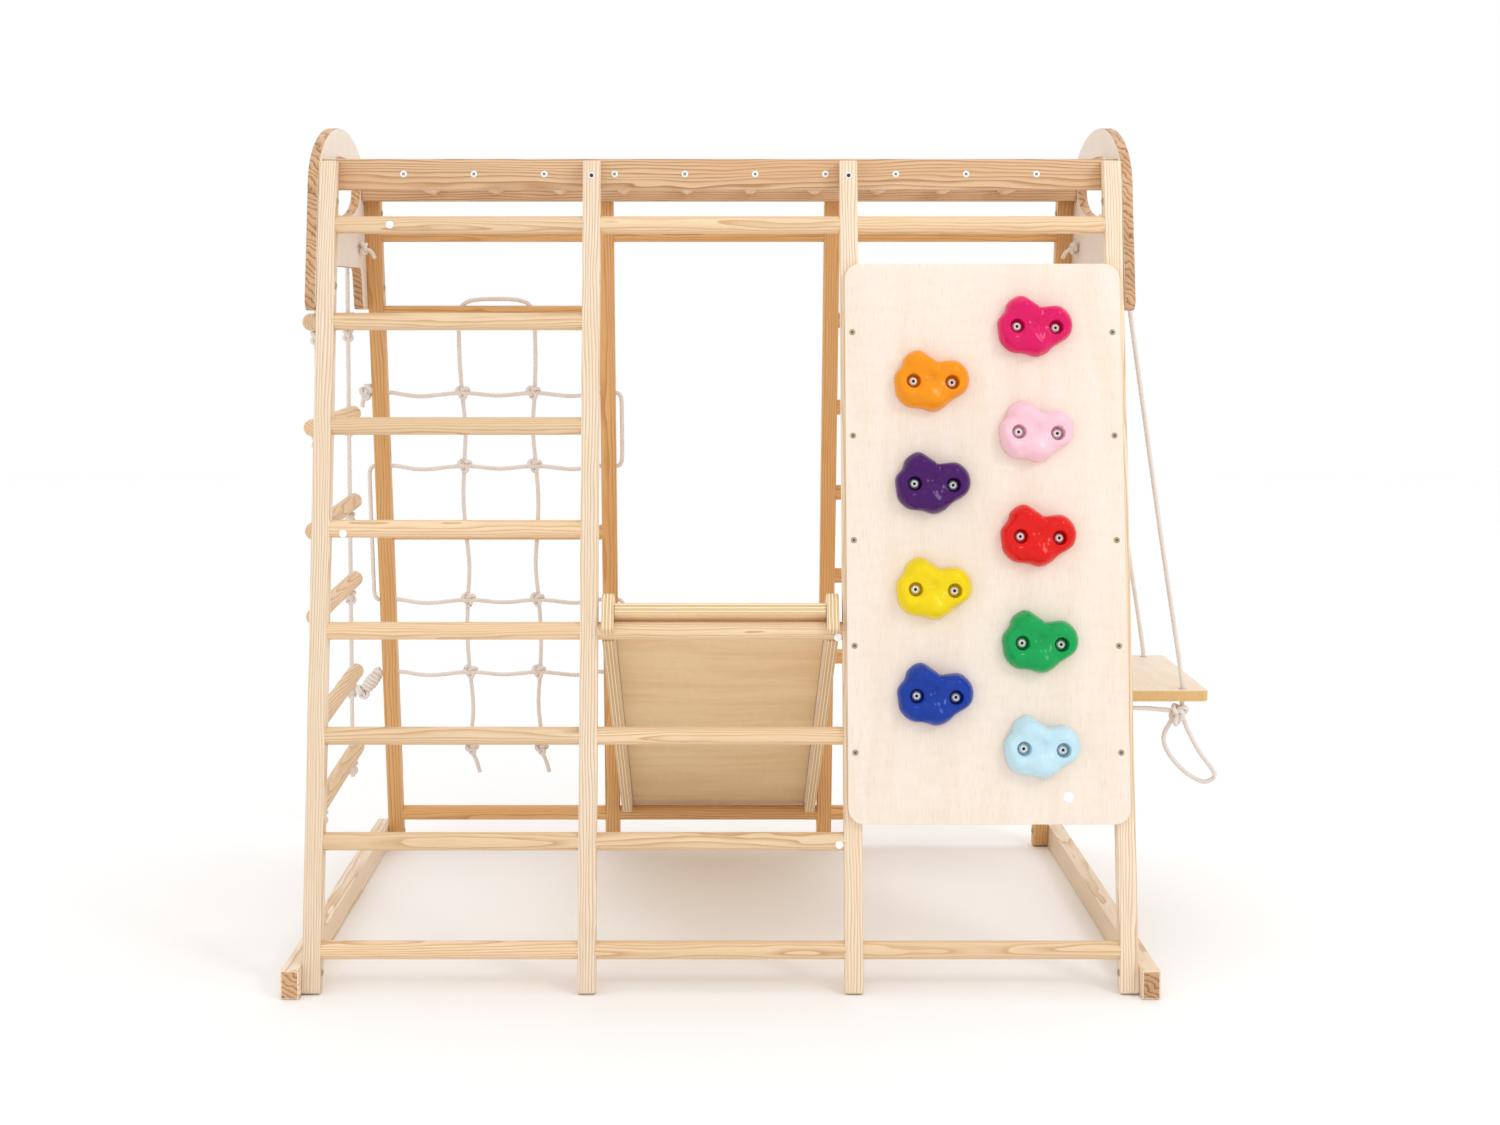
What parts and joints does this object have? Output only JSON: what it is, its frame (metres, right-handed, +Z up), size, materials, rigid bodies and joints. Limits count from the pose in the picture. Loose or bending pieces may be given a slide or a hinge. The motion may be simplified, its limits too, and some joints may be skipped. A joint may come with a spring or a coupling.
{
  "type": "climbing frame",
  "caption": "Wooden indoor climbing frame with a rock climbing panel, rungs, monkey bars, cargo net, hook-on ramp, board swing and rope ladder.",
  "frame": {"origin": "on the floor under the middle of the whole object, ropes left out", "axes": "+X to the right along the frame seen from the climbing panel's side, -Y out of the climbing panel's side, +Z up"},
  "size_m": [1.5044, 0.8813, 1.3585],
  "materials": {
    "front_post_pine": "sanded pine, satin clear coat",
    "back_post_pine": "sanded pine, warmer heartwood, satin",
    "rung_pine": "turned pine, satin",
    "rail_pine": "planed pine with dark grain, satin",
    "edge_pine": "planed pine board, striped end grain",
    "birch_plywood": "birch plywood, satin",
    "ramp_plywood": "birch plywood, satin",
    "seat_board": "pine board, satin",
    "rope": "twisted cotton rope, matte",
    "hold_orange": "moulded plastic, slight orange peel",
    "hold_purple": "moulded plastic, slight orange peel",
    "hold_yellow": "moulded plastic, slight orange peel",
    "hold_blue": "moulded plastic, slight orange peel",
    "hold_magenta": "moulded plastic, slight orange peel",
    "hold_pink": "moulded plastic, slight orange peel",
    "hold_red": "moulded plastic, slight orange peel",
    "hold_green": "moulded plastic, slight orange peel",
    "hold_light_blue": "moulded plastic, slight orange peel",
    "zinc_fastener": "zinc plated",
    "blank_sticker": "matte paper dot"
  },
  "bodies": {
    "frame": {"front_post_1": "front_post_pine", "front_post_2": "front_post_pine", "front_post_3": "front_post_pine", "front_post_4": "front_post_pine", "back_post_1": "back_post_pine", "back_post_2": "back_post_pine", "back_post_3": "back_post_pine", "back_post_4": "back_post_pine", "front_rung_full_0064": "rung_pine", "front_rung_full_1187": "rung_pine", "front_rung_wide_0227": "rung_pine", "front_rung_wide_0387": "rung_pine", "front_rung_wide_0548": "rung_pine", "front_rung_left_0706": "rung_pine", "front_rung_left_0867": "rung_pine", "front_rung_left_1032": "rung_pine", "back_rung_full_0068": "rung_pine", "back_rung_full_1187": "rung_pine", "back_rung_net_0226": "rung_pine", "back_rung_net_0629": "rung_pine", "back_rung_net_1043": "rung_pine", "back_rung_right_0226": "rung_pine", "back_rung_right_0385": "rung_pine", "back_rung_right_0545": "rung_pine", "back_rung_right_0706": "rung_pine", "back_rung_right_0868": "rung_pine", "back_rung_right_1030": "rung_pine", "monkey_bar_ladder": "rail_pine", "gable_left": "edge_pine", "gable_right": "edge_pine", "runner_left": "edge_pine", "runner_right": "edge_pine", "climbing_panel": "birch_plywood", "hold_orange": "hold_orange", "hold_purple": "hold_purple", "hold_yellow": "hold_yellow", "hold_blue": "hold_blue", "hold_magenta": "hold_magenta", "hold_pink": "hold_pink", "hold_red": "hold_red", "hold_green": "hold_green", "hold_light_blue": "hold_light_blue", "net_rope_upright": "rope", "net_rope_across": "rope"},
    "ramp": {"ramp_deck": "ramp_plywood", "ramp_rail_left": "birch_plywood", "ramp_rail_right": "birch_plywood"},
    "swing": {"swing_seat": "seat_board", "swing_rope_front_inner": "rope", "swing_rope_front_outer": "rope", "swing_rope_back_inner": "rope", "swing_rope_back_outer": "rope"},
    "rope_ladder": {"rope_ladder_dowel_1": "rung_pine", "rope_ladder_dowel_2": "rung_pine", "rope_ladder_dowel_3": "rung_pine", "rope_ladder_dowel_4": "rung_pine", "rope_ladder_dowel_5": "rung_pine", "rope_ladder_dowel_6": "rung_pine", "rope_ladder_rope_front": "rope", "rope_ladder_rope_back": "rope"}
  },
  "joints": [
    {"name": "ramp_lift", "type": "hinge", "parent": "frame", "child": "ramp", "pos_m": [-0.06525, -0.32104, 0.548], "axis": [1, 0, 0], "range_deg": [0, 12]},
    {"name": "swing_sway", "type": "hinge", "parent": "frame", "child": "swing", "pos_m": [0.60025, 0, 1.12], "axis": [0, 1, 0], "range_deg": [-40, 25]},
    {"name": "rope_ladder_sway", "type": "hinge", "parent": "frame", "child": "rope_ladder", "pos_m": [-0.73075, 0, 1.12], "axis": [0, 1, 0], "range_deg": [-15, 45]}
  ]
}
